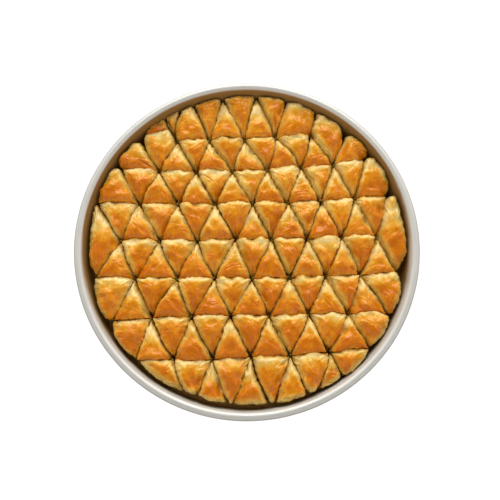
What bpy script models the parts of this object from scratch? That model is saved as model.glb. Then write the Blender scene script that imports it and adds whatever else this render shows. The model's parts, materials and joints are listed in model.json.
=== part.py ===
"""A round baking tray filled with baklava that is cut into small triangles.

There are two solids. The tray is pressed from aluminium sheet, with a flared
wall and a rolled rim. The baklava is one heap: a low slab of bottom sheets,
with every cut piece standing on it behind its own knife cuts.

The origin is the middle of the tray's underside, with +Z up. The long cuts run
along X, and the other cuts zigzag between them.
"""

import math
import random
from typing import NamedTuple

import bmesh
import bpy
from mathutils import Vector

MM = 0.001

# The tray
TRAY_RADIUS = 200 * MM
TRAY_HEIGHT = 42 * MM
SHEET = 1.0 * MM
RIM_ROLL = 4.2 * MM
WALL_FLARE = math.radians(13)
CORNER = 4.0 * MM
SIDES_ROUND = 72

# The baklava as a whole
PASTRY_MIDDLE = Vector((0.4 * MM, 3.8 * MM))
PASTRY_HALF_WIDTH = 184.6 * MM
PASTRY_HALF_DEPTH = 183.4 * MM
GAP_UNDER = 0.3 * MM
SLAB_TOP = 14 * MM
SHOULDER = 27.5 * MM
TAPER_PER_METRE = 1.6
SLAB_INSET = 1.5 * MM


class Bulge(NamedTuple):
    """A stretch of the pastry's edge that spread nearer to the wall."""

    degrees: float
    reach: float
    spread: float


BULGES = (
    Bulge(degrees=-46, reach=3.4 * MM, spread=20),
    Bulge(degrees=124, reach=1.0 * MM, spread=12),
)


class RowCut(NamedTuple):
    """One long cut across the tray, and the crossings along it, in mm.

    The cut lies at y + tilt * x, and bows away by bow at BOW_SPAN from the
    middle. Crossing number n is at x + pitch * n + bend * n^2.
    """

    y: float
    tilt: float
    bow: float
    x: float
    pitch: float
    bend: float


# From the far side of the tray to the near side. The first and the last lie
# just outside the pastry and only aim the zigzag cuts of the outer rows.
ROW_CUTS = (
    RowCut(189, 0.044, -2.0, 10, 39.5, 0.0),
    RowCut(136, 0.044, -0.9, -4, 40.2, 0.1),
    RowCut(96, 0.042, 3.4, -17, 42.1, -0.7),
    RowCut(56.5, 0.021, 1.3, 6, 42.8, -0.7),
    RowCut(12, 0.017, 0.4, -14, 43.7, -0.5),
    RowCut(-34.5, 0.011, 1.4, 6, 44.0, -0.4),
    RowCut(-78, 0.024, -0.4, -20, 45.5, 0.1),
    RowCut(-127, 0.048, 1.5, 4, 45.2, 0.3),
    RowCut(-186, 0.02, 1.5, -19, 46.5, 0.4),
)
BOW_SPAN = 100
CROSSINGS_EACH_WAY = 6
CUT_WANDER = 0.6 * MM

# Half of each knife gap. The blade leaned over on the cuts that fall to the
# right, so those stand wider open.
HALF_GAP_ROW = 0.9 * MM
HALF_GAP_RISING = 1.0 * MM
HALF_GAP_FALLING = 1.5 * MM
STEEPEST_ROW = math.radians(25)

# Triangles that the knife left joined, against the rim. A triangle is its row,
# the way it points, and the number of its crossing on the row's far cut.
UNCUT = (
    ((0, "down", -3), (0, "up", -2)),
    ((0, "up", -3), (1, "down", -3)),
    ((0, "up", 1), (0, "down", 1)),
    ((0, "up", 2), (1, "down", 2)),
    ((1, "down", -4), (1, "up", -3)),
    ((1, "down", 3), (1, "up", 3)),
    ((2, "down", -4), (2, "up", -3)),
    ((2, "down", 4), (2, "up", 4)),
    ((3, "up", -4), (4, "down", -4)),
    ((3, "down", 4), (3, "up", 4), (4, "down", 4)),
    ((5, "up", -4), (5, "down", -4)),
    ((5, "down", 3), (5, "up", 4)),
    ((6, "up", -3), (6, "down", -3)),
    ((6, "down", 3), (6, "up", 4)),
    ((7, "down", -3), (7, "up", -2)),
)
SMALLEST_PIECE = 100 * MM * MM
SHORTEST_EDGE = 3.0 * MM

# One of those has a scrap cut off its far end, along this line.
SCRAP_OF = (0, "up", -3)
SCRAP_CUT = (Vector((-115 * MM, 140 * MM)), Vector((-97 * MM, 145 * MM)))

# The form of one piece. It stands this deep in the slab.
EMBED = 1.0 * MM
CORNER_CUT = 2.8 * MM
CORNER_SHARE = 0.4
SHARP_TURN = math.radians(28)
LONG_EDGE = 26 * MM
FULL_PIECE = 1000 * MM * MM
SMALL_PIECE_HEIGHT = 0.6


class Ring(NamedTuple):
    """One step of the puffed top: how far it draws in, its rise and how round it is."""

    shrink: float
    rise: float
    roundness: float
    uneven: float


BROW = Ring(shrink=0.88, rise=3.2 * MM, roundness=0.10, uneven=0.3 * MM)
CROWN = Ring(shrink=0.60, rise=2.6 * MM, roundness=0.35, uneven=0.45 * MM)
MOST_SHRINK = 0.95
PEAK_RISE = 1.0 * MM
HEIGHT_SPREAD = 1.0 * MM
LIFT_AT_SHOULDER = 0.5
TILT_SPREAD = 0.045
CREST_SPREAD = 2.2 * MM
CREST_TO_REAR = 1.2 * MM
SEED = 41

CRUST_COLOUR = (0.72, 0.29, 0.05, 1)
TRAY_COLOUR = (0.76, 0.75, 0.72, 1)
CREASE = math.radians(45)


def clear_scene():
    """Start from nothing."""
    for thing in list(bpy.data.objects):
        bpy.data.objects.remove(thing, do_unlink=True)


def make_material(name, colour, roughness, metallic):
    """A plain Principled finish."""
    material = bpy.data.materials.new(name)
    material.use_nodes = True
    shader = material.node_tree.nodes["Principled BSDF"]
    shader.inputs["Base Color"].default_value = colour
    shader.inputs["Roughness"].default_value = roughness
    shader.inputs["Metallic"].default_value = metallic
    material.diffuse_color = colour
    return material


def object_from(bm, name, collection):
    """Store a bmesh as a named object."""
    mesh = bpy.data.meshes.new(name)
    bm.to_mesh(mesh)
    bm.free()
    thing = bpy.data.objects.new(name, mesh)
    collection.objects.link(thing)
    return thing


def shade(thing, crease):
    """Smooth shading that keeps the edges sharper than the crease angle."""
    thing.data.shade_smooth()
    thing.data.set_sharp_from_angle(angle=crease)


def arc(middle, radius, angles):
    """Points on a circle in the profile's plane."""
    return [
        (middle[0] + radius * math.cos(angle), middle[1] + radius * math.sin(angle))
        for angle in angles
    ]


def tray_profile():
    """The tray's section as (radius, height), from the underside's middle to the floor's."""
    outward = Vector((math.cos(WALL_FLARE), -math.sin(WALL_FLARE)))
    upward = Vector((math.sin(WALL_FLARE), math.cos(WALL_FLARE)))
    roll = Vector((TRAY_RADIUS - RIM_ROLL, TRAY_HEIGHT - RIM_ROLL))
    wall_top = roll - outward * RIM_ROLL

    # The corner between floor and wall, on the inside: both lines are tangent to it.
    inner_corner = CORNER - SHEET
    down_the_wall = (wall_top.y - SHEET) / upward.y
    foot = wall_top - upward * down_the_wall
    to_tangent = inner_corner * math.tan((math.pi / 2 - WALL_FLARE) / 2)
    corner = Vector((foot.x - to_tangent, SHEET + inner_corner))

    wall_angle = -WALL_FLARE
    floor_angle = -math.pi / 2
    turn = [floor_angle, (floor_angle + wall_angle) / 2, wall_angle]
    outside = arc(corner, CORNER, turn)
    inside = arc(corner, inner_corner, reversed(turn))

    # The roll runs from where the wall's outer face meets it, under and over.
    meeting = math.acos((RIM_ROLL - SHEET) / RIM_ROLL)
    start = math.pi - WALL_FLARE + meeting
    end = 3 * math.pi - WALL_FLARE
    eighth = math.pi / 4
    steps = range(math.ceil(start / eighth), math.floor(end / eighth) + 1)
    bead = arc(roll, RIM_ROLL, [start] + [eighth * step for step in steps] + [end])
    return [(0, 0)] + outside + bead + inside + [(0, SHEET)]


def make_tray(collection):
    """Spin the section once round."""
    bm = bmesh.new()
    points = [bm.verts.new((radius, 0, height)) for radius, height in tray_profile()]
    edges = [bm.edges.new(pair) for pair in zip(points, points[1:])]
    bmesh.ops.spin(
        bm,
        geom=points + edges,
        cent=(0, 0, 0),
        axis=(0, 0, 1),
        angle=2 * math.pi,
        steps=SIDES_ROUND,
        use_merge=True,
    )
    bmesh.ops.remove_doubles(bm, verts=bm.verts, dist=0.01 * MM)
    bmesh.ops.recalc_face_normals(bm, faces=bm.faces)
    tray = object_from(bm, "tray", collection)
    shade(tray, CREASE)
    tray.data.materials.append(make_material("aluminium", TRAY_COLOUR, 0.38, 1.0))
    return tray


def pastry_outline():
    """The pastry's edge seen from above, anticlockwise."""
    points = []
    for step in range(SIDES_ROUND):
        angle = 2 * math.pi * step / SIDES_ROUND
        extra = 0
        for bulge in BULGES:
            away = math.degrees(angle) - bulge.degrees
            away = (away + 180) % 360 - 180
            extra += bulge.reach * math.exp(-((away / bulge.spread) ** 2))
        reach = Vector(
            (
                (PASTRY_HALF_WIDTH + extra) * math.cos(angle),
                (PASTRY_HALF_DEPTH + extra) * math.sin(angle),
            )
        )
        points.append(PASTRY_MIDDLE + reach)
    return points


def crossings():
    """Where the zigzag cuts meet each long cut, with the unsteadiness of a hand."""
    hand = random.Random(SEED)
    points = {}
    for number, cut in enumerate(ROW_CUTS):
        for place in range(-CROSSINGS_EACH_WAY, CROSSINGS_EACH_WAY + 2):
            x = cut.x + cut.pitch * place + cut.bend * place * place
            y = cut.y + cut.tilt * x + cut.bow * (x / BOW_SPAN) ** 2
            wander = Vector((hand.uniform(-1, 1), hand.uniform(-1, 1))) * CUT_WANDER
            points[number, place] = Vector((x, y)) * MM + wander
    return points


def triangles():
    """Every triangle between the cuts, named by its row, the way it points and its number."""
    points = crossings()
    found = {}
    for row in range(len(ROW_CUTS) - 1):
        near = 1 if ROW_CUTS[row + 1].x < ROW_CUTS[row].x else 0
        for place in range(-CROSSINGS_EACH_WAY + 1, CROSSINGS_EACH_WAY):
            far_left = points[row, place]
            far_right = points[row, place + 1]
            near_left = points[row + 1, place + near - 1]
            near_right = points[row + 1, place + near]
            found[row, "down", place] = [far_left, near_right, far_right]
            found[row, "up", place] = [far_left, near_left, near_right]
    return found


def mean_of(points):
    """The mean of some points."""
    return sum(points, Vector((0, 0))) / len(points)


def middle_of(outline):
    """The middle of the area inside an outline."""
    total = 0
    moment = Vector((0, 0))
    for start, end in zip(outline, outline[1:] + outline[:1]):
        share = start.cross(end)
        total += share
        moment += (start + end) * share
    return moment / (3 * total)


def joined(group):
    """One convex outline round triangles that share an edge, anticlockwise."""
    corners = []
    for triangle in group:
        for point in triangle:
            if all((point - other).length > SHORTEST_EDGE / 2 for other in corners):
                corners.append(point)
    middle = mean_of(corners)
    return sorted(corners, key=lambda point: math.atan2(*(point - middle).yx))


def kept_side(outline, start, end):
    """The part of an outline to the left of a line."""
    along = end - start
    result = []
    for before, after in zip(outline[-1:] + outline[:-1], outline):
        side_before = along.cross(before - start)
        side_after = along.cross(after - start)
        if (side_before >= 0) != (side_after >= 0):
            share = side_before / (side_before - side_after)
            result.append(before.lerp(after, share))
        if side_after >= 0:
            result.append(after)
    return result


def clipped(outline, boundary):
    """The part of an outline inside a convex boundary that runs anticlockwise."""
    for start, end in zip(boundary, boundary[1:] + boundary[:1]):
        outline = kept_side(outline, start, end)
    return outline


def half_gap(along):
    """Half the width of the knife gap on a cut that runs this way."""
    steepness = math.atan2(abs(along.y), abs(along.x))
    if steepness < STEEPEST_ROW:
        return HALF_GAP_ROW
    if along.x * along.y > 0:
        return HALF_GAP_RISING
    return HALF_GAP_FALLING


def behind_cuts(outline):
    """An outline drawn back by half a knife gap along each of its edges."""
    moved = outline
    for start, end in zip(outline, outline[1:] + outline[:1]):
        along = end - start
        inward = Vector((-along.y, along.x)).normalized() * half_gap(along)
        moved = kept_side(moved, start + inward, end + inward)
    return moved


def area_of(outline):
    """The area inside an outline."""
    pairs = zip(outline, outline[1:] + outline[:1])
    return abs(sum(start.cross(end) for start, end in pairs)) / 2


def without_short_edges(outline):
    """Merge each point that lies too close to the one before it into that one."""
    result = []
    for point in outline:
        if result and (point - result[-1]).length <= SHORTEST_EDGE:
            result[-1] = result[-1].lerp(point, 0.5)
        else:
            result.append(point)
    if (result[0] - result[-1]).length <= SHORTEST_EDGE:
        last = result.pop()
        result[0] = result[0].lerp(last, 0.5)
    return result


def with_midpoints(outline):
    """Halve the long edges, so that the top can puff out between its corners."""
    result = []
    for start, end in zip(outline, outline[1:] + outline[:1]):
        result.append(start)
        if (end - start).length > LONG_EDGE:
            result.append(start.lerp(end, 0.5))
    return result


def piece_outlines():
    """The outline of each piece at its shoulder."""
    cells = triangles()
    edge = pastry_outline()
    together = {name: group for group in UNCUT for name in group}
    outlines = []
    for name in cells:
        group = together.get(name, (name,))
        if name != group[0]:
            continue
        whole = joined([cells[one] for one in group])
        parts = [whole]
        if name == SCRAP_OF:
            start, end = SCRAP_CUT
            parts = [kept_side(whole, start, end), kept_side(whole, end, start)]
        for part in parts:
            outline = clipped(behind_cuts(part), edge)
            if len(outline) > 2 and area_of(outline) > SMALLEST_PIECE:
                outlines.append(with_midpoints(without_short_edges(outline)))
    return outlines


def move_down(vertices, height):
    """Lower vertices from the shoulder to a height, drawing them in as the tray's wall does."""
    shrink = 1 - TAPER_PER_METRE * (SHOULDER - height)
    for vertex in vertices:
        flat = PASTRY_MIDDLE + (vertex.co.xy - PASTRY_MIDDLE) * shrink
        vertex.co = (flat.x, flat.y, height)


def upright_copy(bm, face):
    """Extrude a face, keeping it as the foot. Returns the copy."""
    made = bmesh.ops.extrude_face_region(bm, geom=[face], use_keep_orig=True)["geom"]
    return next(part for part in made if isinstance(part, bmesh.types.BMFace))


def round_corners(bm, outline, vertices):
    """Blunt the vertices where the knife turned, and not those along the rim."""
    for number, vertex in enumerate(vertices):
        before = outline[number] - outline[number - 1]
        after = outline[(number + 1) % len(outline)] - outline[number]
        if before.angle(after) < SHARP_TURN:
            continue
        room = min(before.length, after.length) * CORNER_SHARE
        bmesh.ops.bevel(
            bm,
            geom=[vertex],
            offset=min(CORNER_CUT, room),
            offset_type="OFFSET",
            segments=2,
            profile=0.5,
            affect="VERTICES",
        )


def raised(bm, face, pivot, ring, shift, dough):
    """Extrude a face, draw its copy in about the pivot, rounder, and move it. Returns the copy."""
    face = bmesh.ops.extrude_discrete_faces(bm, faces=[face])["faces"][0]
    reaches = [(vertex.co.xy - pivot).length for vertex in face.verts]
    mean = sum(reaches) / len(reaches)
    for vertex, reach in zip(face.verts, reaches):
        shrink = min(MOST_SHRINK, ring.shrink * (mean / reach) ** ring.roundness)
        flat = pivot + (vertex.co.xy - pivot) * shrink
        height = vertex.co.z + dough.uniform(-1, 1) * ring.uneven
        vertex.co = Vector((flat.x, flat.y, height)) + shift
    return face


def make_piece(outline, hand, dough, number, collection):
    """One piece: sides down into the slab, a rounded brow and a puffed crown."""
    middle = middle_of(outline)
    size = math.sqrt(area_of(outline) / FULL_PIECE)
    size = min(1.0, max(SMALL_PIECE_HEIGHT, size))
    lift = hand.uniform(-1, 1) * HEIGHT_SPREAD
    tilt = Vector((hand.uniform(-1, 1), hand.uniform(-1, 1))) * TILT_SPREAD
    crest = Vector((hand.uniform(-1, 1), hand.uniform(-1, 1))) * CREST_SPREAD
    crest.y += CREST_TO_REAR

    bm = bmesh.new()
    corners = [bm.verts.new((point.x, point.y, SHOULDER)) for point in outline]
    bm.faces.new(corners)
    round_corners(bm, outline, corners)
    bm.faces.ensure_lookup_table()
    foot = bm.faces[0]
    top = upright_copy(bm, foot)
    move_down(foot.verts, SLAB_TOP - EMBED)
    for vertex in top.verts:
        vertex.co.z += lift * LIFT_AT_SHOULDER + tilt.dot(vertex.co.xy - middle)
    brow = raised(bm, top, middle, BROW, Vector((0, 0, BROW.rise * size)), dough)
    shift = Vector((crest.x, crest.y, CROWN.rise * size + lift))
    crown = raised(bm, brow, middle, CROWN, shift, dough)
    peak = bmesh.ops.poke(bm, faces=[crown])["verts"][0]
    peak.co.z += PEAK_RISE
    bmesh.ops.recalc_face_normals(bm, faces=bm.faces)
    return object_from(bm, f"piece_{number:03d}", collection)


def make_slab(collection):
    """The bottom sheets under all the cuts, with a tapered edge."""
    bm = bmesh.new()
    ring = []
    for point in pastry_outline():
        drawn_in = point - (point - PASTRY_MIDDLE).normalized() * SLAB_INSET
        ring.append(bm.verts.new((drawn_in.x, drawn_in.y, SHOULDER)))
    foot = bm.faces.new(ring)
    top = upright_copy(bm, foot)
    move_down(top.verts, SLAB_TOP)
    move_down(foot.verts, SHEET + GAP_UNDER)
    bmesh.ops.recalc_face_normals(bm, faces=bm.faces)
    return object_from(bm, "baklava", collection)


def make_baklava(collection):
    """Stand every piece on the slab and join them all into one solid."""
    slab = make_slab(collection)
    pieces = bpy.data.collections.new("pieces")
    bpy.context.scene.collection.children.link(pieces)
    hand = random.Random(SEED + 1)
    dough = random.Random(SEED + 2)
    for number, outline in enumerate(piece_outlines()):
        make_piece(outline, hand, dough, number, pieces)

    union = slab.modifiers.new("pieces", "BOOLEAN")
    union.operation = "UNION"
    union.operand_type = "COLLECTION"
    union.collection = pieces
    union.solver = "EXACT"
    view = bpy.context.evaluated_depsgraph_get()
    whole = bpy.data.meshes.new_from_object(slab.evaluated_get(view))
    slab.modifiers.clear()
    slab.data = whole
    whole.name = "baklava"
    for thing in list(pieces.objects):
        bpy.data.objects.remove(thing, do_unlink=True)
    bpy.data.collections.remove(pieces)

    shade(slab, CREASE)
    slab.data.materials.clear()
    slab.data.materials.append(make_material("baked_pastry", CRUST_COLOUR, 0.35, 0.0))
    return slab


def main():
    clear_scene()
    collection = bpy.context.scene.collection
    make_tray(collection)
    make_baklava(collection)


main()
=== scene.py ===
"""A round baking tray of triangle-cut baklava, dressed for close viewing.

The packed model's frame is loaded first. Every piece here lies in that frame,
in metres, with +Z up and the middle of the tray's underside at the origin.
"""

import json
import math
import random
from typing import NamedTuple

import bmesh
import bpy
import numpy as np
from bpy.props import FloatProperty, FloatVectorProperty, IntProperty, PointerProperty
from mathutils import Matrix, Vector, noise

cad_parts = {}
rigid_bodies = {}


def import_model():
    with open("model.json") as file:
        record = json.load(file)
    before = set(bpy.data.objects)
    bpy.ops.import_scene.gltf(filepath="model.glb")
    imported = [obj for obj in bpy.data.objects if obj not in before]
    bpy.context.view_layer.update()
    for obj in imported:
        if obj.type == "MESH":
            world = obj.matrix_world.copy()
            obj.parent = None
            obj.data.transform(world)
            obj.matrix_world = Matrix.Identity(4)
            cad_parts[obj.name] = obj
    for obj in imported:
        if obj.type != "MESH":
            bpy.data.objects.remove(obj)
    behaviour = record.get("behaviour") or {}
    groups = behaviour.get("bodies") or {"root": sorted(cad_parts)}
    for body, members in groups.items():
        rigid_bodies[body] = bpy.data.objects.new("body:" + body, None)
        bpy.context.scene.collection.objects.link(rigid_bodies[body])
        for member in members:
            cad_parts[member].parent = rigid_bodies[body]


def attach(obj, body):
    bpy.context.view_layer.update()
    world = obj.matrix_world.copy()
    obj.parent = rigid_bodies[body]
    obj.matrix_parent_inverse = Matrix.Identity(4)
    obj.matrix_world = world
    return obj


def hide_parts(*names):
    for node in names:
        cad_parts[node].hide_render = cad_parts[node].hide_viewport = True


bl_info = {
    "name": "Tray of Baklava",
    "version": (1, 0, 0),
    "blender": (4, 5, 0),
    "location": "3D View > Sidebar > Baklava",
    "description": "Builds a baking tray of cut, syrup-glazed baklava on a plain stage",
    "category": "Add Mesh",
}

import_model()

MM = 0.001
BODY = "root"


# The knife cuts

PASTRY_MIDDLE = Vector((0.4 * MM, 3.3 * MM))
PASTRY_HALF_WIDTH = 184.6 * MM
PASTRY_HALF_DEPTH = 184.0 * MM
EDGE_STEPS = 72


class Bulge(NamedTuple):
    """A stretch of the pastry's edge that spread nearer to the wall."""

    degrees: float
    reach: float
    spread: float


BULGES = (
    Bulge(degrees=-46, reach=3.4 * MM, spread=20),
    Bulge(degrees=-70, reach=1.4 * MM, spread=14),
    Bulge(degrees=124, reach=0.8 * MM, spread=12),
)


class RowCut(NamedTuple):
    """One long cut across the tray, and the crossings along it, in mm.

    The cut lies at y + tilt * x, and bows away by bow at BOW_SPAN from the
    middle. Crossing number n is at x + pitch * n + bend * n^2.
    """

    y: float
    tilt: float
    bow: float
    x: float
    pitch: float
    bend: float


ROW_CUTS = (
    RowCut(188, 0.044, -2.0, 10, 39.5, 0.0),
    RowCut(135, 0.044, -0.9, -4, 40.2, 0.1),
    RowCut(95, 0.042, 3.4, -17, 42.1, -0.7),
    RowCut(55.5, 0.021, 1.3, 6, 42.8, -0.7),
    RowCut(11, 0.017, 0.4, -14, 43.7, -0.5),
    RowCut(-35.5, 0.011, 1.4, 6, 44.0, -0.4),
    RowCut(-79, 0.024, -0.4, -20, 45.5, 0.1),
    RowCut(-128, 0.048, 1.5, 4, 45.2, 0.3),
    RowCut(-187, 0.02, 1.5, -19, 46.5, 0.4),
)
BOW_SPAN = 100
CROSSINGS_EACH_WAY = 6
CUT_WANDER = 0.6 * MM
STEEPEST_ROW = math.radians(25)

# Triangles that the knife left joined, against the rim.
UNCUT = (
    ((0, "down", -3), (0, "up", -2)),
    ((0, "up", -3), (1, "down", -3)),
    ((0, "up", 1), (0, "down", 1)),
    ((0, "up", 2), (1, "down", 2)),
    ((1, "down", -4), (1, "up", -3)),
    ((1, "down", 3), (1, "up", 3)),
    ((2, "down", -4), (2, "up", -3)),
    ((2, "down", 4), (2, "up", 4)),
    ((3, "up", -4), (4, "down", -4)),
    ((3, "down", 4), (3, "up", 4), (4, "down", 4)),
    ((5, "up", -4), (5, "down", -4)),
    ((5, "down", 3), (5, "up", 4)),
    ((6, "up", -3), (6, "down", -3)),
    ((6, "down", 3), (6, "up", 4)),
    ((7, "down", -3), (7, "up", -2)),
)
SMALLEST_PIECE = 100 * MM * MM
SHORTEST_EDGE = 3.0 * MM
# How far the cut sheets show behind the cuts that face each way. This is partly painted shade and
# light: sides facing south and southeast keep the darker skin colour further down, and sides facing
# southwest and northeast show more of the pale sheets.
BARE_NORTH = 0.7 * MM
BARE_SOUTH = -4.0 * MM
BARE_NORTHWEST = 0.0 * MM
BARE_NORTHEAST = 1.3 * MM
BARE_SOUTHEAST = -1.5 * MM
BARE_SOUTHWEST = 1.0 * MM
BARE_AT_RIM = 2.6 * MM

# Pieces that are split once more: a loose scrap, and a folded lobe beside a dome.
SPLITS = {
    (0, "up", -3): (Vector((-115 * MM, 140 * MM)), Vector((-97 * MM, 145 * MM))),
    (0, "down", -3): (Vector((-79 * MM, 172 * MM)), Vector((-88 * MM, 139 * MM))),
}
# One cut by the south rim was levered open.
WIDE_CUT = Vector((16 * MM, -157 * MM))
WIDE_CUT_REACH = 16 * MM
WIDE_CUT_GAP = 1.1 * MM

# The inside of the tray's wall: its radius at the table, and its lean.
WALL_FOOT = 181.2 * MM
WALL_LEAN = math.tan(math.radians(13))

SHOULDER = 27.5 * MM
TAPER_PER_METRE = 1.6
CORNER_SHARE = 0.4
SHARP_TURN = math.radians(28)
FULL_PIECE = 1000 * MM * MM
SMALL_PIECE_HEIGHT = 0.6
HEIGHT_SPREAD = 1.0 * MM
FLAKES_WITHIN = 177 * MM
TILT_SPREAD = 0.075
CREST_SPREAD = 2.8 * MM
CREST_TO_REAR = -0.3 * MM
# Partly painted shade: the brown fat film reaches higher on the wall to the rear and to the west,
# where the wall is in shade and mirrors the pastry. Metres for each metre.
FILM_AND_SHADE_SLANT = (0.022, -0.125, 1.0)
SEED = 41

# A point counts as part of the rim from here out.
RIM_FROM = 0.955 * PASTRY_HALF_WIDTH
# How wide the bumps and tears are that shape a piece's edges and top.
LOBE_SPAN = 12 * MM
RAGGED_SPAN = 5 * MM
FRAYED_SPAN = 1.8 * MM
WANDER_SPAN = 24 * MM
LUMP_SPAN = 15 * MM
BLISTER_SPAN = 11 * MM
CREASE_SPAN = 13 * MM
TEAR_SPAN = 6 * MM
TEAR_WOBBLE = 5 * MM
TEAR_EDGE = 0.5 * MM
SHEET_SPAN = 14 * MM
SHEET_PITCH = 1.0 * MM

# The camera looks down at the tray, a little off straight.
CAMERA_TILT = math.radians(12.5)
CAMERA_DISTANCE = 1.35
CAMERA_AIM = Vector((0, 0, 0.030))
CAMERA_LENS = 83.6
CAMERA_SENSOR = 36
CAMERA_SHIFT = (0.00624, -0.00332)
WINDOW_PLACE = Vector((0.1, 2.4, 1.5))
WINDOW_SIZE = 2.4
WINDOW_COLOUR = (1.0, 0.95, 0.80)
SKY_COLOUR = (1.0, 0.94, 0.77, 1.0)
FLOOR_SIZE = 8.0


def linear(hex_colour):
    """An sRGB hex colour as linear red, green, blue and alpha."""
    parts = [int(hex_colour[place : place + 2], 16) / 255 for place in (1, 3, 5)]
    parts = [c / 12.92 if c <= 0.04045 else ((c + 0.055) / 1.055) ** 2.4 for c in parts]
    return (*parts, 1.0)


def length(name, description, millimetres):
    """A length property, given in millimetres."""
    return FloatProperty(
        name=name, description=description, default=millimetres * MM, unit="LENGTH", precision=5
    )


def colour(name, description, hex_colour):
    """A colour property, given as sRGB hex."""
    return FloatVectorProperty(
        name=name,
        description=description,
        subtype="COLOR",
        size=4,
        min=0,
        max=1,
        default=linear(hex_colour),
    )


class BaklavaCutSettings(bpy.types.PropertyGroup):
    """The knife gaps."""

    row_gap: length("Row gap", "Half the gap of a cut that runs across the tray", 0.05)
    rising_gap: length("Rising gap", "Half the gap of a cut that rises to the right", 0.35)
    falling_gap: length("Falling gap", "Half the gap of a cut that falls to the right", 0.55)
    corner: length("Corner", "How far each corner is blunted", 2.2)
    uneven: FloatProperty(name="Uneven", description="How much the gaps vary", default=1.5)


class BaklavaPieceSettings(bpy.types.PropertyGroup):
    """The form of the cut pieces."""

    foot: length("Foot", "Height at which the pieces leave the bottom sheets", 9)
    brow: length("Brow", "Height at which a piece's side starts to round over", 22)
    rim_brow: length("Brow at the rim", "The same, along the tray's wall", 25.5)
    crest: length("Crest", "Height of a full piece's top", 34.2)
    bulge: length("Bulge", "How far the sides puff out between the corners", 0.8)
    rounding: length("Rounding", "How far the top draws back at a corner", 1.8)
    north_rise: length("North rise", "How much higher the brow is on a north side", 5.5)
    south_rise: length("South rise", "How much higher the brow is on a south side", 7.0)
    rear_rise: length("Rear rise", "How much higher the brow is at the rim to the rear", 3)
    corner_drop: length("Corner drop", "How far the corners lie below the brow", 2.8)
    spread: length("Spread", "How much wider a piece is at its foot", 0.4)
    wander: length("Wander", "How far the cuts bend to and fro", 2.2)
    ragged: length("Ragged", "Unevenness of the cut edges", 1.1)
    frayed: length("Frayed", "How far small tears shift the edges of the top", 0.7)
    spacing: length("Spacing", "Distance between a piece's mesh points round its edge", 1.1)
    side_rings: IntProperty(name="Side rings", description="Rings up the side", default=10)
    top_rings: IntProperty(name="Top rings", description="Rings over the top", default=19)
    wrinkle: length("Wrinkle", "Height of the wrinkles in the top sheet", 0.5)
    blister: length("Blister", "Height of the broad unevenness of the top", 2.2)
    crease: length("Crease", "Height of the long soft creases", 0.4)
    lump: length("Lump", "How far the lumps of filling shift the ridges", 4)
    lean: length("Lean", "How far a piece's highest point strays", 2)
    lobe: length("Lobe", "Height of the bumps along a north side", 3.4)
    torn: length("Torn sheet", "Step where a top sheet has flaked away", 0.4)
    layer: length("Layer", "How far the cut sheets stand in and out", 0.3)


class BaklavaColourSettings(bpy.types.PropertyGroup):
    """The colours of the pastry."""

    browned: colour("Browned", "Darkest baked patches", "#D67602")
    orange: colour("Orange", "Well baked top", "#EC9C12")
    golden: colour("Golden", "Lightly baked top", "#F2C254")
    pale: colour("Pale", "Hardly baked edges", "#F4DEA4")
    cut: colour("Cut sheets", "Sides of the cuts", "#ECCB78")
    layered: colour("Layered", "Lines between the cut sheets", "#B88C2C")
    soaked: colour("Soaked sheets", "Syrup-dark bottom of the cuts", "#9C6A08")
    nuts: colour("Pistachio", "Ground nuts between the sheets", "#88822A")
    flake: colour("Flake", "Loose flakes of filo", "#F0CC84")


class BaklavaLooseSettings(bpy.types.PropertyGroup):
    """Flakes and crumbs."""

    flakes: IntProperty(name="Flakes", description="Loose flakes of filo", default=160)
    flake: length("Flake", "Length of the longest flake", 3.6)
    crumb: length("Crumb", "Radius of the largest crumb", 1.6)


class BaklavaTraySettings(bpy.types.PropertyGroup):
    """The baking tray."""

    radius: length("Radius", "To the outside of the rim", 200)
    height: length("Height", "To the top of the rim", 42)
    sheet: length("Sheet", "Thickness of the metal", 1.0)
    roll: length("Rim roll", "Radius of the rolled rim", 4.8)
    corner: length("Corner", "Outside radius between floor and wall", 4.0)
    flare: FloatProperty(
        name="Flare", description="Lean of the wall", default=math.radians(13), subtype="ANGLE"
    )
    steps: IntProperty(name="Steps", description="Faces round the tray", default=240)
    metal: colour("Metal", "Bare aluminium", "#D9DCE6")
    film: colour("Film", "Baked-on fat", "#94703A")
    # Painted light: the syrup and fat stain is given a light colour to stand in for light in the
    # shaded channel at the foot of the wall.
    stain_and_fill_light: colour("Stain", "Syrup and fat at the foot of the wall", "#D4AA68")


class BaklavaStageSettings(bpy.types.PropertyGroup):
    """Camera, light and floor."""

    floor: colour("Floor", "Pale backdrop", "#8C8680")
    floor_glow: FloatProperty(name="Floor glow", description="How bright it looks", default=1.0)
    window_power: FloatProperty(name="Window", description="Power in watts", default=65.5)
    round_glow: FloatProperty(name="Surroundings", description="Light from all round", default=1.0)
    above_glow: FloatProperty(name="Above", description="Light from straight above", default=0.2)


# The layout of the pieces


def pastry_outline():
    """The pastry's edge seen from above, anticlockwise."""
    points = []
    for step in range(EDGE_STEPS):
        angle = 2 * math.pi * step / EDGE_STEPS
        extra = 0
        for bulge in BULGES:
            away = math.degrees(angle) - bulge.degrees
            away = (away + 180) % 360 - 180
            extra += bulge.reach * math.exp(-((away / bulge.spread) ** 2))
        reach_x = (PASTRY_HALF_WIDTH + extra) * math.cos(angle)
        reach_y = (PASTRY_HALF_DEPTH + extra) * math.sin(angle)
        points.append(PASTRY_MIDDLE + Vector((reach_x, reach_y)))
    return points


def crossings():
    """Where the zigzag cuts meet each long cut, with the unsteadiness of a hand."""
    hand = random.Random(SEED)
    points = {}
    for number, cut in enumerate(ROW_CUTS):
        for place in range(-CROSSINGS_EACH_WAY, CROSSINGS_EACH_WAY + 2):
            x = cut.x + cut.pitch * place + cut.bend * place * place
            y = cut.y + cut.tilt * x + cut.bow * (x / BOW_SPAN) ** 2
            wander = Vector((hand.uniform(-1, 1), hand.uniform(-1, 1))) * CUT_WANDER
            points[number, place] = Vector((x, y)) * MM + wander
    return points


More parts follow.
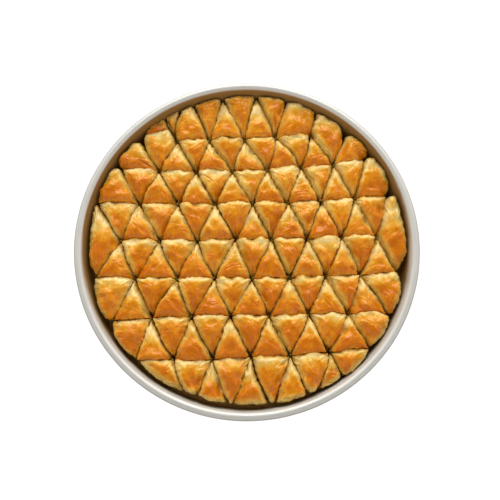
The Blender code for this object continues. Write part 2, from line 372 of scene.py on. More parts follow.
def triangles():
    """Every triangle between the cuts, named by its row, the way it points and its number."""
    points = crossings()
    found = {}
    for row in range(len(ROW_CUTS) - 1):
        near = 1 if ROW_CUTS[row + 1].x < ROW_CUTS[row].x else 0
        for place in range(-CROSSINGS_EACH_WAY + 1, CROSSINGS_EACH_WAY):
            far_left = points[row, place]
            far_right = points[row, place + 1]
            near_left = points[row + 1, place + near - 1]
            near_right = points[row + 1, place + near]
            found[row, "down", place] = [far_left, near_right, far_right]
            found[row, "up", place] = [far_left, near_left, near_right]
    return found


def middle_of(outline):
    """The middle of the area inside an outline."""
    total = 0
    moment = Vector((0, 0))
    for start, end in zip(outline, outline[1:] + outline[:1]):
        share = start.cross(end)
        total += share
        moment += (start + end) * share
    return moment / (3 * total)


def joined(group):
    """One convex outline round triangles that share an edge, anticlockwise."""
    corners = []
    for triangle in group:
        for point in triangle:
            if all((point - other).length > SHORTEST_EDGE / 2 for other in corners):
                corners.append(point)
    middle = sum(corners, Vector((0, 0))) / len(corners)
    return sorted(corners, key=lambda point: math.atan2(*(point - middle).yx))


def kept_side(outline, start, end):
    """The part of an outline to the left of a line."""
    along = end - start
    result = []
    for before, after in zip(outline[-1:] + outline[:-1], outline):
        side_before = along.cross(before - start)
        side_after = along.cross(after - start)
        if (side_before >= 0) != (side_after >= 0):
            share = side_before / (side_before - side_after)
            result.append(before.lerp(after, share))
        if side_after >= 0:
            result.append(after)
    return result


def clipped(outline, boundary):
    """The part of an outline inside a convex boundary that runs anticlockwise."""
    for start, end in zip(boundary, boundary[1:] + boundary[:1]):
        outline = kept_side(outline, start, end)
    return outline


def half_gap(start, end, cuts):
    """Half the width of the knife gap between two crossings. Some cuts stand open."""
    along = end - start
    middle = (start + end) / 2
    opened = 1 + cuts.uneven * noise.noise(Vector((*middle, 0)) / (17 * MM))
    if math.atan2(abs(along.y), abs(along.x)) < STEEPEST_ROW:
        return cuts.row_gap * opened
    if along.x * along.y > 0:
        return cuts.rising_gap * opened
    if (middle - WIDE_CUT).length < WIDE_CUT_REACH:
        return WIDE_CUT_GAP
    return cuts.falling_gap * opened


def behind_cuts(outline, cuts):
    """An outline drawn back by half a knife gap along each of its edges."""
    moved = outline
    for start, end in zip(outline, outline[1:] + outline[:1]):
        along = end - start
        inward = Vector((-along.y, along.x)).normalized() * half_gap(start, end, cuts)
        moved = kept_side(moved, start + inward, end + inward)
    return moved


def area_of(outline):
    """The area inside an outline."""
    pairs = zip(outline, outline[1:] + outline[:1])
    return abs(sum(start.cross(end) for start, end in pairs)) / 2


def without_short_edges(outline):
    """Merge each point that lies too close to the one before it into that one."""
    result = []
    for point in outline:
        if result and (point - result[-1]).length <= SHORTEST_EDGE:
            result[-1] = result[-1].lerp(point, 0.5)
        else:
            result.append(point)
    if (result[0] - result[-1]).length <= SHORTEST_EDGE:
        last = result.pop()
        result[0] = result[0].lerp(last, 0.5)
    return result


class Form(NamedTuple):
    """One piece: its row, its outline at the shoulder, and how it stands."""

    row: int
    outline: list
    middle: Vector
    size: float
    lift: float
    tilt: Vector
    crest: Vector


def piece_forms(cuts):
    """Every piece, with the same unsteadiness as the solids have."""
    cells = triangles()
    edge = pastry_outline()
    together = {name: group for group in UNCUT for name in group}
    hand = random.Random(SEED + 1)
    forms = []
    for name in cells:
        group = together.get(name, (name,))
        if name != group[0]:
            continue
        whole = joined([cells[one] for one in group])
        parts = [whole]
        if name in SPLITS:
            start, end = SPLITS[name]
            parts = [kept_side(whole, start, end), kept_side(whole, end, start)]
        for part in parts:
            outline = clipped(behind_cuts(part, cuts), edge)
            if len(outline) < 3 or area_of(outline) < SMALLEST_PIECE:
                continue
            outline = without_short_edges(outline)
            size = math.sqrt(area_of(outline) / FULL_PIECE)
            lift = hand.uniform(-1, 1) * HEIGHT_SPREAD
            tilt = Vector((hand.uniform(-1, 1), hand.uniform(-1, 1))) * TILT_SPREAD
            crest = Vector((hand.uniform(-1, 1), hand.uniform(-1, 1))) * CREST_SPREAD
            crest.y += CREST_TO_REAR
            size = min(1.0, max(SMALL_PIECE_HEIGHT, size))
            forms.append(Form(name[0], outline, middle_of(outline), size, lift, tilt, crest))
    return forms


# Meshes


def finished(bm, name, material, slot, *nodes):
    """Store a bmesh as a smooth piece that rides on the body, and stands for its nodes."""
    mesh = bpy.data.meshes.new(name)
    bm.to_mesh(mesh)
    bm.free()
    mesh.shade_smooth()
    mesh.materials.append(material)
    piece = bpy.data.objects.new(name, mesh)
    bpy.context.scene.collection.objects.link(piece)
    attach(piece, BODY)
    if nodes:
        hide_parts(*nodes)
    return piece


def smooth_step(low, high, value):
    """0 below low, 1 above high, and a smooth rise between them."""
    share = min(1.0, max(0.0, (value - low) / (high - low)))
    return share * share * (3 - 2 * share)


def drawn_in(point, height):
    """A flat point at a height, drawn in below the shoulder as the tray's wall is."""
    shrink = 1 - TAPER_PER_METRE * max(0.0, SHOULDER - height)
    return PASTRY_MIDDLE + (point - PASTRY_MIDDLE) * shrink


def sharp_points(outline):
    """The points of an outline where the knife turned."""
    found = []
    for before, point, after in zip(outline[-1:] + outline[:-1], outline, outline[1:] + outline[:1]):
        if (point - before).angle(after - point) >= SHARP_TURN:
            found.append(point)
    return found


def round_corners(bm, outline, vertices, corner):
    """Blunt the vertices where the knife turned, and return the face they bound."""
    face = vertices[0].link_faces[0]
    for number, vertex in enumerate(vertices):
        before = outline[number] - outline[number - 1]
        after = outline[(number + 1) % len(outline)] - outline[number]
        if before.angle(after) < SHARP_TURN:
            continue
        room = min(before.length, after.length) * CORNER_SHARE
        made = bmesh.ops.bevel(
            bm,
            geom=[vertex],
            offset=min(corner, room),
            offset_type="OFFSET",
            segments=4,
            profile=0.5,
            material=-1,
            affect="VERTICES",
        )
        face = made["verts"][0].link_faces[0]
    return face


class Sides:
    """The sides of an outline as arrays, one row for each side."""

    def __init__(self, outline, rough):
        self.starts = np.array([tuple(point) for point in outline])
        alongs = np.roll(self.starts, -1, axis=0) - self.starts
        self.alongs = alongs / np.linalg.norm(alongs, axis=1, keepdims=True)
        self.outwards = np.stack([self.alongs[:, 1], -self.alongs[:, 0]], axis=1)
        self.rim = np.array([self.lies_at_rim(number) for number in range(len(outline))])
        self.bare = np.array([self.bared(number) for number in range(len(outline))])
        self.bare += np.array([rough.uniform(-1.2, 1.5) for _ in outline]) * MM
        self.swell = np.array([self.swollen(number) for number in range(len(outline))])
        row = np.abs(self.alongs[:, 1]) < math.sin(STEEPEST_ROW)
        self.south = row & (self.outwards[:, 1] < 0) & ~self.rim
        self.north = row & (self.outwards[:, 1] > 0) & ~self.rim

    def lies_at_rim(self, number):
        """Whether a side is part of the pastry's edge."""
        away = self.starts[number] - np.array(PASTRY_MIDDLE)
        reach = np.linalg.norm(away)
        return reach > RIM_FROM and self.outwards[number] @ away > 0.8 * reach

    def bared(self, number):
        """How far the cut sheets show behind a side: partly the leaning blade, partly painted shade,
        with less of the pale sheets on sides that face south and southeast.
        """
        along, outward = self.alongs[number], self.outwards[number]
        if self.rim[number]:
            return BARE_AT_RIM * max(0.4, -outward[1]) ** 3
        if abs(along[1]) < math.sin(STEEPEST_ROW):
            return BARE_NORTH if outward[1] > 0 else BARE_SOUTH
        if along[0] * along[1] > 0:
            return BARE_SOUTHEAST if outward[0] > 0 else BARE_NORTHWEST
        return BARE_NORTHEAST if outward[0] > 0 else BARE_SOUTHWEST

    def swollen(self, number):
        """How much a side puffs out. A piece leans over the cut to the north of it."""
        if self.rim[number] or abs(self.alongs[number, 1]) > math.sin(STEEPEST_ROW):
            return 1.0
        return 2.0 if self.outwards[number, 1] > 0 else -1.2

    def depths(self, points):
        """How far each point lies inside each side."""
        away = points[:, None] - self.starts[None]
        return self.alongs[None, :, 0] * away[..., 1] - self.alongs[None, :, 1] * away[..., 0]

    def softened(self, depths, sharpness):
        """One depth for each point, rounded off where two sides are equally near."""
        near = depths[:, ~self.rim]
        if self.rim.any():
            near = np.column_stack([near, depths[:, self.rim].min(axis=1)])
        near = np.maximum(near, 0.02 * MM)
        return (near**-sharpness).sum(axis=1) ** (-1 / sharpness)


def wrinkles(point, grain, offset):
    """The crumpled skin of a baked sheet: ridges that run along the grain, from -1 to 1."""
    along = point.xy.dot(grain)
    across = point.xy.cross(grain)
    folded = Vector((along / (10 * MM), across / (3.4 * MM), offset))
    fine = Vector((along / (4 * MM), across / (2.0 * MM), offset + 7))
    ridge = 1 - 3.2 * abs(noise.noise(folded))
    return ridge * 0.6 + noise.noise(fine) * 0.6


def wandered(point, reach, offset):
    """How far the lumps under the sheets shift a point's height."""
    spot = Vector((point[0] / LUMP_SPAN, point[1] / LUMP_SPAN, offset))
    return noise.noise_vector(spot).xy * reach


def start_ring(bm, outline, corner, spacing):
    """The outline as a face with blunt corners and closely spaced points."""
    corners = [bm.verts.new((point.x, point.y, 0)) for point in outline]
    bm.faces.new(corners)
    face = round_corners(bm, outline, corners, corner)
    for edge in list(face.edges):
        parts = round(edge.calc_length() / spacing)
        if parts > 1:
            bmesh.ops.bisect_edges(bm, edges=[edge], cuts=parts - 1)
    return face


def piece_rings(form, rest, pieces, sides, rough, offset):
    """Where each ring of a piece lies, from the foot up, with how far it is inside the skin."""
    middle = np.array(form.middle)
    pastry_middle = np.array(PASTRY_MIDDLE)
    tilt = np.array(form.tilt)
    crest = np.array(form.crest)
    base = sides.depths(rest)
    weight = (np.maximum(base, 0) + 1.5 * MM) ** -3
    weight /= weight.sum(axis=1, keepdims=True)
    bare = weight @ sides.bare
    at_rim = weight @ sides.rim.astype(float)
    swell = weight @ sides.swell
    northern = weight @ sides.north.astype(float)
    outward = weight @ sides.outwards
    outward /= np.linalg.norm(outward, axis=1, keepdims=True)
    reach = np.linalg.norm(rest - middle, axis=1)
    inward = (middle - rest) / reach[:, None]
    sharp = sharp_points(form.outline)

    blunt = pieces.rounding * rough.uniform(0.4, 1.5)
    own = Vector((0, 0, offset))
    puffed = np.zeros((len(rest), 1))
    pulled = np.zeros((len(rest), 1))
    sunk = np.zeros(len(rest))
    lobes = np.zeros(len(rest))
    bend = np.zeros((len(rest), 2))
    for place, point in enumerate(rest):
        spot = Vector((*point, 0))
        nearest = min(sharp, key=lambda corner: (spot.xy - corner).length)
        from_corner = (spot.xy - nearest).length
        # The points to the south sank as the knife left them, and those to the north stand.
        faces_north = (nearest - form.middle).normalized().y
        sinks = 1.6 - 0.4 * faces_north - 1.2 * max(0, faces_north) ** 2
        sinks += 0.8 * max(0, -faces_north) ** 2
        if (nearest - PASTRY_MIDDLE).length > RIM_FROM:
            sinks *= 0.8 if faces_north > 0 else 0.3
        puffed[place] = pieces.bulge * swell[place] * smooth_step(0, 14 * MM, from_corner)
        lobes[place] = pieces.lobe * northern[place] * noise.noise(spot / LOBE_SPAN + own)
        puffed[place] += lobes[place] * 0.4
        puffed[place] += pieces.ragged * noise.noise(spot / RAGGED_SPAN + own)
        puffed[place] += pieces.frayed * noise.noise(spot / FRAYED_SPAN + own)
        pulled[place] = 0.45 * blunt * sinks * (1 - smooth_step(0, 8 * MM, from_corner))
        fall = (12 + 9 * max(0, -faces_north)) * MM
        sunk[place] = pieces.corner_drop * sinks * (1 - smooth_step(0, fall, from_corner))
        bend[place] = noise.noise_vector(spot / WANDER_SPAN).xy * pieces.wander
    puff = outward * puffed + inward * pulled
    brow = pieces.brow + (pieces.rim_brow - pieces.brow) * at_rim + form.lift * 0.5 - sunk
    brow += pieces.south_rise * (weight @ sides.south.astype(float))
    brow += pieces.north_rise * northern
    brow += pieces.rear_rise * at_rim * np.maximum(0, outward[:, 1])
    crest_height = pieces.brow + (pieces.crest - pieces.brow) * form.size + form.lift

    def placed(flat, height):
        shrink = 1 - TAPER_PER_METRE * np.maximum(0, SHOULDER - height)
        return pastry_middle + (flat - pastry_middle) * shrink[:, None]

    rings = []
    for number in range(pieces.side_rings + 1):
        share = (number / pieces.side_rings) ** 0.7
        height = pieces.foot + (brow + lobes - pieces.foot) * share
        slide = rough.uniform(0, 1) * pieces.layer if 0 < number < pieces.side_rings else 0
        opened = smooth_step(0.3, 1, share)
        slide -= pieces.spread * (1 - opened)
        flat = placed(rest + bend + puff * opened - outward * slide, height)
        level = height + (flat - middle) @ tilt * share
        rings.append((flat, level, height - brow - lobes - bare))

    sharpness = rough.uniform(1.1, 2.0)
    steep = rough.uniform(1.7, 2.3)
    full = rough.uniform(1.15, 1.45)
    shift = np.array([rough.uniform(-1, 1), rough.uniform(-1, 1)]) * pieces.lean
    base_soft = sides.softened(base, sharpness)
    middle_depths = sides.depths(middle[None])
    middle_soft = sides.softened(middle_depths, sharpness)
    for number in range(1, pieces.top_rings):
        inwards = (number / pieces.top_rings) ** 1.5
        shrink = (1 - inwards) * np.minimum(1.2, (reach.mean() / reach) ** (0.9 * inwards))
        flat = middle + (rest - middle) * shrink[:, None]
        warped = np.array([wandered(point, pieces.lump, offset) for point in flat])
        warped = flat + (warped + shift) * smooth_step(0, 0.5, inwards)
        depths = sides.depths(warped)
        soft = (sides.softened(depths, sharpness) - base_soft) / (middle_soft - base_soft)
        dome = (1 - (1 - np.clip(soft, 0, 1)) ** steep) ** (1 / full)
        near_edge = (1 - inwards) ** 2
        height = brow + (crest_height - brow) * dome + lobes * near_edge
        flat = placed(flat + crest * inwards + bend * (1 - inwards) + puff * near_edge, height)
        level = height + (flat - middle) @ tilt
        unwarped = middle_depths + (base - middle_depths) * shrink[:, None]
        rings.append((flat, level, unwarped.min(axis=1) - bare))
    return rings


def build_piece(bm, form, pieces, cuts, rough):
    """One piece: layered sides up to a brow, and a puffed, wrinkled top."""
    number = bm.verts.layers.int["number"]
    across = bm.verts.layers.float["across"]
    browning_and_painted_light = bm.verts.layers.float["browning_and_painted_light"]
    tone = rough.uniform(-1, 1)
    offset = rough.uniform(0, 1000)
    angle = rough.uniform(0, math.pi)
    grain = Vector((math.cos(angle), math.sin(angle)))
    tears = []
    for _ in range(rough.choice((1, 2, 2, 3))):
        turn = rough.uniform(0, 2 * math.pi)
        way = Vector((math.cos(turn), math.sin(turn)))
        tears.append((way, rough.uniform(0, 9) * MM, rough.uniform(0.4, 1.0)))

    face = start_ring(bm, form.outline, cuts.corner, pieces.spacing)
    for place, vertex in enumerate(face.verts):
        vertex[number] = place
    rest = np.array([vertex.co.xy[:] for vertex in face.verts])
    sides = Sides(form.outline, rough)
    rings = piece_rings(form, rest, pieces, sides, rough, offset)

    made = []
    for level, (flats, heights, skins) in enumerate(rings):
        if level == 1:
            geom = bmesh.ops.extrude_face_region(bm, geom=[face], use_keep_orig=True)["geom"]
            face = next(part for part in geom if isinstance(part, bmesh.types.BMFace))
        elif level > 1:
            face = bmesh.ops.extrude_discrete_faces(bm, faces=[face])["faces"][0]
        for vertex in face.verts:
            place = vertex[number]
            vertex.co = (*flats[place], heights[place])
            vertex[across] = skins[place] / MM
            made.append(vertex)
    peak = bmesh.ops.poke(bm, faces=[face])["verts"][0]
    peak[across] = made[-1][across]
    made.append(peak)

    bm.normal_update()
    moves = []
    for vertex in made:
        place = vertex.co
        normal = vertex.normal
        top = smooth_step(0.15, 0.6, normal.z)
        move = 0
        # Browning: paler near the cuts, a little paler towards the north of the tray, and browner at
        # the north rim. On each piece the north part, which faces the window, is painted paler and the
        # south part browner: painted highlight and painted shade.
        northern = (place.y - form.middle.y - form.crest.y) / (12 * MM)
        browned_and_lit = 0.26 + 0.46 * smooth_step(0, 6.5, vertex[across])
        browned_and_lit -= 0.4 * min(1.3, max(-0.4, northern - 0.15)) + 0.5 * place.y
        away = place.xy - PASTRY_MIDDLE
        browned_and_lit += 0.22 * smooth_step(162 * MM, 182 * MM, away.length) * max(0, away.normalized().y)
        vertex[browning_and_painted_light] = browned_and_lit + tone * 0.13
        if top > 0:
            spot = Vector((place.x, place.y, 0))
            broad = noise.noise(spot / BLISTER_SPAN + Vector((0, 0, offset)))
            crease = 0.5 - 2.5 * abs(noise.noise(spot / CREASE_SPAN + Vector((offset, 0, 0))))
            move += top * (pieces.blister * broad + pieces.crease * crease)
            move += top * pieces.wrinkle * wrinkles(place, grain, offset)
            wobble = noise.noise(spot / TEAR_SPAN + Vector((0, offset, 0))) * TEAR_WOBBLE
            for way, distance, depth in tears:
                beyond = (place.xy - form.middle).dot(way) - distance + wobble
                move -= top * depth * pieces.torn * smooth_step(-TEAR_EDGE, TEAR_EDGE, beyond)
        if top < 1:
            sheet = Vector((place.x / SHEET_SPAN, place.y / SHEET_SPAN, place.z / SHEET_PITCH))
            move += (1 - top) * pieces.layer * noise.noise(sheet)
        moves.append(normal * move)
    for vertex, move in zip(made, moves):
        vertex.co += move
        reach = vertex.co.xy.length
        room = WALL_FOOT + WALL_LEAN * vertex.co.z
        if reach > room:
            vertex.co.xy = vertex.co.xy * (room / reach)


# Materials


def set_inputs(node, links):
    """Give each named input of a node a value, or another node's output."""
    for key, value in links.items():
        if isinstance(value, bpy.types.NodeSocket):
            node.id_data.links.new(value, node.inputs[key])
        else:
            node.inputs[key].default_value = value


def add_node(tree, kind, links=None, stops=None, **settings):
    """Add a shader node with its settings. links gives each input a value or another's output."""
    made = tree.nodes.new("ShaderNode" + kind)
    for name, value in settings.items():
        setattr(made, name, value)
    for number, (position, shade) in enumerate(stops or ()):
        ramp = made.color_ramp.elements
        stop = ramp[number] if number < 2 else ramp.new(position)
        stop.position = position
        stop.color = shade
    set_inputs(made, links or {})
    return made


def new_material(name):
    """An empty material with its output and Principled shader."""
    material = bpy.data.materials.new(name)
    material.use_nodes = True
    tree = material.node_tree
    return material, tree, tree.nodes["Principled BSDF"]


def glazed_filo(colours):
    """Baked filo under a syrup glaze.

    The top sheet browns in soft patches and stays pale near the cuts; its north slopes, which face the
    window, are painted paler and its south slopes browner, as painted highlight and shade. The cut
    sides show the sheets as fine pale lines with syrup between them. The thin coat of syrup gives
    small wet glints.
    """
    material, tree, shader = new_material("syrup_glazed_filo")
    place = add_node(tree, "TexCoord").outputs["Object"]
    across = add_node(tree, "Attribute", attribute_name="across").outputs["Fac"]
    # This attribute holds real browning together with painted highlight on north slopes and painted
    # shade on south slopes.
    browning_and_painted_light = add_node(tree, "Attribute", attribute_name="browning_and_painted_light").outputs["Fac"]

    # Patches 10 mm across, mottling of 4 mm and flecks of 1 mm.
    patches = add_node(
        tree, "TexNoise", {"Vector": place, "Scale": 1 / (10 * MM), "Detail": 2, "Roughness": 0.5}
    ).outputs["Fac"]
    mottling = add_node(
        tree, "TexNoise", {"Vector": place, "Scale": 1 / (4 * MM), "Detail": 3, "Roughness": 0.6}
    ).outputs["Fac"]
    flecks = add_node(
        tree, "TexNoise", {"Vector": place, "Scale": 1 / (1 * MM), "Detail": 2, "Roughness": 0.6}
    ).outputs["Fac"]
    patchy = add_node(
        tree, "Math", {0: patches, 1: 1.0, 2: browning_and_painted_light}, operation="MULTIPLY_ADD"
    ).outputs[0]
    mottled = add_node(
        tree, "Math", {0: mottling, 1: 0.4, 2: patchy}, operation="MULTIPLY_ADD"
    ).outputs[0]
    flecked = add_node(
        tree, "Math", {0: flecks, 1: 0.55, 2: mottled}, operation="MULTIPLY_ADD"
    ).outputs[0]
    baked = add_node(
        tree, "Math", {0: flecked, 1: 0.97}, operation="SUBTRACT", use_clamp=True
    ).outputs[0]
    top = add_node(
        tree,
        "ValToRGB",
        {"Fac": baked},
        stops=[
            (0.0, colours.pale),
            (0.95, colours.browned),
            (0.30, colours.golden),
            (0.60, colours.orange),
        ],
    ).outputs["Color"]

    # Sheets stand about 0.9 mm apart up the cut sides.
    stacked = add_node(
        tree, "Mapping", {"Vector": place, "Scale": (40, 40, 1 / (0.9 * MM))}
    ).outputs["Vector"]
    sheets = add_node(
        tree, "TexNoise", {"Vector": stacked, "Scale": 1.0, "Detail": 2, "Roughness": 0.6}
    ).outputs["Fac"]
    sides = add_node(
        tree, "ValToRGB", {"Fac": sheets}, stops=[(0.36, colours.layered), (0.56, colours.cut)]
    ).outputs["Color"]
    ragged = add_node(
        tree, "Math", {0: mottling, 1: 3.0, 2: across}, operation="MULTIPLY_ADD"
    ).outputs[0]
    # The ground nuts start some 3 mm below the brow of a side.
    nutty = add_node(
        tree,
        "MapRange",
        {"Value": ragged, "From Min": -4, "From Max": -1, "To Min": 0.8, "To Max": 0.0},
    ).outputs["Result"]
    filled = add_node(
        tree, "Mix", {"Factor": nutty, 6: sides, 7: colours.nuts}, data_type="RGBA"
    ).outputs[2]
    skin = add_node(
        tree, "MapRange", {"Value": ragged, "From Min": 0.8, "From Max": 4.6}
    ).outputs["Result"]
    skinned = add_node(
        tree, "Mix", {"Factor": skin, 6: filled, 7: top}, data_type="RGBA"
    ).outputs[2]

    # Syrup darkens the sheets towards the bottom of the cuts.
    wet = add_node(
        tree, "MapRange", {"Value": across, "From Min": -14, "From Max": -2}
    ).outputs["Result"]
    depth = add_node(
        tree, "Mix", {"Factor": wet, 6: colours.soaked, 7: skinned}, data_type="RGBA"
    ).outputs[2]

    gloss = add_node(
        tree,
        "MapRange",
        {"Value": mottling, "From Min": 0.3, "From Max": 0.7, "To Min": 0.30, "To Max": 0.52},
    ).outputs["Result"]
    # The syrup's coat lies on the top sheet and hardly on the cut sides.
    coated = add_node(
        tree,
        "MapRange",
        {"Value": across, "From Min": -4, "From Max": 1, "To Min": 0.1, "To Max": 0.85},
    ).outputs["Result"]
    # Crinkles 2.5 mm apart with the flecks on top.
    crinkles = add_node(
        tree, "TexNoise", {"Vector": place, "Scale": 1 / (2.5 * MM), "Detail": 2, "Distortion": 1.2}
    ).outputs["Fac"]
    crinkled = add_node(
        tree, "Bump", {"Height": crinkles, "Strength": 0.48, "Distance": 0.7 * MM}
    ).outputs["Normal"]
    bump = add_node(
        tree, "Bump", {"Height": flecks, "Strength": 0.14, "Distance": 0.2 * MM, "Normal": crinkled}
    ).outputs["Normal"]
    set_inputs(shader, {
        "Base Color": depth,
        "Roughness": gloss,
        "IOR": 1.40,
        "Specular IOR Level": 0.2,
        "Specular Tint": linear("#FFD890"),
        "Subsurface Weight": 0.3,
        "Subsurface Scale": 2 * MM,
        "Subsurface Radius": (1.0, 0.5, 0.15),
        "Coat Weight": coated,
        "Coat Roughness": 0.21,
        "Coat IOR": 1.48,
        "Normal": bump,
    })
    return material


def soaked_filo(colours):
    """Bottom sheets soaked in syrup: dark, dense and wet."""
    material, tree, shader = new_material("soaked_bottom_sheets")
    place = add_node(tree, "TexCoord").outputs["Object"]
    mottling = add_node(
        tree, "TexNoise", {"Vector": place, "Scale": 1 / (5 * MM), "Detail": 3}
    ).outputs["Fac"]
    shade = add_node(
        tree,
        "ValToRGB",
        {"Fac": mottling},
        stops=[(0.35, linear("#7A5418")), (0.7, colours.soaked)],
    ).outputs["Color"]
    set_inputs(shader, {
        "Base Color": shade,
        "Roughness": 0.7,
        "Specular IOR Level": 0.2,
    })
    return material


def loose_filo(colours):
    """Flakes of dry top sheet: pale, thin and a little glossy."""
    material, tree, shader = new_material("loose_filo_flakes")
    set_inputs(shader, {
        "Base Color": colours.flake,
        "Roughness": 0.45,
        "Subsurface Weight": 0.3,
        "Subsurface Scale": 1 * MM,
        "Subsurface Radius": (1.0, 0.6, 0.3),
    })
    return material


def ground_pistachio(colours):
    """Ground pistachio wet with syrup: green and yellow grains."""
    material, tree, shader = new_material("ground_pistachio")
    place = add_node(tree, "TexCoord").outputs["Object"]
    grains = add_node(
        tree, "TexNoise", {"Vector": place, "Scale": 1 / (1.2 * MM), "Detail": 2}
    ).outputs["Fac"]
    shade = add_node(
        tree, "ValToRGB", {"Fac": grains}, stops=[(0.35, colours.nuts), (0.65, linear("#C8B45C"))]
    ).outputs["Color"]
    set_inputs(shader, {
        "Base Color": shade,
        "Roughness": 0.4,
    })
    return material


def pressed_aluminium(tray):
    """Aluminium tray, pressed and spun, used for years.

    The bare metal is satin, with fine lines round the tray, and baked-on fat leaves a brown film low
    on the inside. The film is drawn higher on the rear and west walls as painted shade, and the stain
    at the foot of the wall is painted lighter to stand in for light there.
    """
    material, tree, shader = new_material("pressed_aluminium")
    place = add_node(tree, "TexCoord").outputs["Object"]
    across, along, height = add_node(tree, "SeparateXYZ", {"Vector": place}).outputs
    flat = add_node(tree, "CombineXYZ", {"X": across, "Y": along}).outputs["Vector"]
    radius = add_node(tree, "VectorMath", {0: flat}, operation="LENGTH").outputs["Value"]
    section = add_node(tree, "CombineXYZ", {"X": radius, "Y": height}).outputs["Vector"]
    # Spinning lines 0.7 mm apart.
    lines = add_node(
        tree, "TexNoise", {"Vector": section, "Scale": 1 / (0.7 * MM), "Detail": 2}
    ).outputs["Fac"]
    wear = add_node(
        tree, "TexNoise", {"Vector": place, "Scale": 1 / (22 * MM), "Detail": 5}
    ).outputs["Fac"]
    inside = add_node(tree, "Attribute", attribute_name="inside").outputs["Fac"]
    # Painted shade: the film reaches highest on the wall at the rear and the west, where the wall is
    # in shade.
    slant = add_node(
        tree, "VectorMath", {0: place, 1: FILM_AND_SHADE_SLANT}, operation="DOT_PRODUCT"
    ).outputs["Value"]
    # Wear shifts the upper edge of the film by up to 6 mm each way.
    level = add_node(
        tree, "Math", {0: wear, 1: 12 * MM, 2: slant}, operation="MULTIPLY_ADD"
    ).outputs[0]
    low = add_node(
        tree,
        "MapRange",
        {"Value": level, "From Min": 37 * MM, "From Max": 49 * MM, "To Min": 1.0, "To Max": 0.0},
    ).outputs["Result"]
    film_and_shade = add_node(
        tree, "Math", {0: low, 1: inside}, operation="MULTIPLY", use_clamp=True
    ).outputs[0]
    film_and_shade_colour = add_node(
        tree, "Mix", {"Factor": film_and_shade, 6: tray.metal, 7: tray.film}, data_type="RGBA"
    ).outputs[2]
    # The stain at the foot of the inside wall is painted lighter than syrup and fat, to stand in for
    # light in the shaded channel.
    deep = add_node(
        tree,
        "MapRange",
        {"Value": height, "From Min": 2 * MM, "From Max": 16 * MM, "To Min": 1.0, "To Max": 0.0},
    ).outputs["Result"]
    soaked = add_node(tree, "Math", {0: deep, 1: inside}, operation="MULTIPLY").outputs[0]
    shade = add_node(
        tree, "Mix", {"Factor": soaked, 6: film_and_shade_colour, 7: tray.stain_and_fill_light}, data_type="RGBA"
    ).outputs[2]
    bare = add_node(
        tree, "MapRange", {"Value": film_and_shade, "To Min": 0.4, "To Max": 0.1}
    ).outputs["Result"]
    sheen = add_node(
        tree, "MapRange", {"Value": film_and_shade, "To Min": 0.3, "To Max": 0.02}
    ).outputs["Result"]
    gloss = add_node(
        tree,
        "MapRange",
        {"Value": wear, "From Min": 0.3, "From Max": 0.7, "To Min": 0.42, "To Max": 0.58},
    ).outputs["Result"]
    bump = add_node(
        tree, "Bump", {"Height": lines, "Strength": 0.12, "Distance": 0.1 * MM}
    ).outputs["Normal"]
    set_inputs(shader, {
        "Base Color": shade,
        "Metallic": bare,
        "Specular IOR Level": sheen,
        "Roughness": gloss,
        "Normal": bump,
    })
    return material


# Operators


class BAKLAVA_OT_tray(bpy.types.Operator):
    """Spin the tray: a flat floor, a flared wall and a rolled rim"""

    bl_idname = "baklava.tray"
    bl_label = "Baking tray"

    def execute(self, context):
        tray = context.scene.baklava_tray
        bm = bmesh.new()
        inside = bm.verts.layers.float.new("inside")
        points = [bm.verts.new((r, 0, z)) for r, z in self.profile(tray)]
        edges = [bm.edges.new(pair) for pair in zip(points, points[1:])]
        bmesh.ops.spin(
            bm,
            geom=points + edges,
            cent=(0, 0, 0),
            axis=(0, 0, 1),
            angle=2 * math.pi,
            steps=tray.steps,
            use_merge=True,
        )
        bmesh.ops.remove_doubles(bm, verts=bm.verts, dist=0.01 * MM)
        bmesh.ops.recalc_face_normals(bm, faces=bm.faces)
        bm.normal_update()
        for vertex in bm.verts:
            inner = tray.radius - 1.6 * tray.roll - vertex.co.xy.length
            vertex[inside] = smooth_step(0, 0.15, vertex.normal.z) * smooth_step(0, 2 * MM, inner)
        finished(bm, "baking_tray", pressed_aluminium(tray), "tray_metal", "tray")
        return {"FINISHED"}

    def arc(self, middle, radius, angles):
        """Points on a circle in the section's plane."""
        return [
            (middle[0] + radius * math.cos(angle), middle[1] + radius * math.sin(angle))
            for angle in angles
        ]

    def profile(self, tray):
        """The section as (radius, height), from the underside's middle to the floor's."""
        outward = Vector((math.cos(tray.flare), -math.sin(tray.flare)))
        upward = Vector((math.sin(tray.flare), math.cos(tray.flare)))
        roll = Vector((tray.radius - tray.roll, tray.height - tray.roll))
        wall_top = roll - outward * tray.roll
        inner_corner = tray.corner - tray.sheet
        foot = wall_top - upward * ((wall_top.y - tray.sheet) / upward.y)
        to_tangent = inner_corner * math.tan((math.pi / 2 - tray.flare) / 2)
        corner = Vector((foot.x - to_tangent, tray.sheet + inner_corner))

        turn = [-math.pi / 2 + (math.pi / 2 - tray.flare) * step / 6 for step in range(7)]
        outside = self.arc(corner, tray.corner, turn)
        inside = self.arc(corner, inner_corner, reversed(turn))
        meeting = math.acos((tray.roll - tray.sheet) / tray.roll)
        start = math.pi - tray.flare + meeting
        end = 3 * math.pi - tray.flare
        steps = 26
        bead = self.arc(roll, tray.roll, [start + (end - start) * s / steps for s in range(steps + 1)])
        return [(0, 0)] + outside + bead + inside + [(0, tray.sheet)]


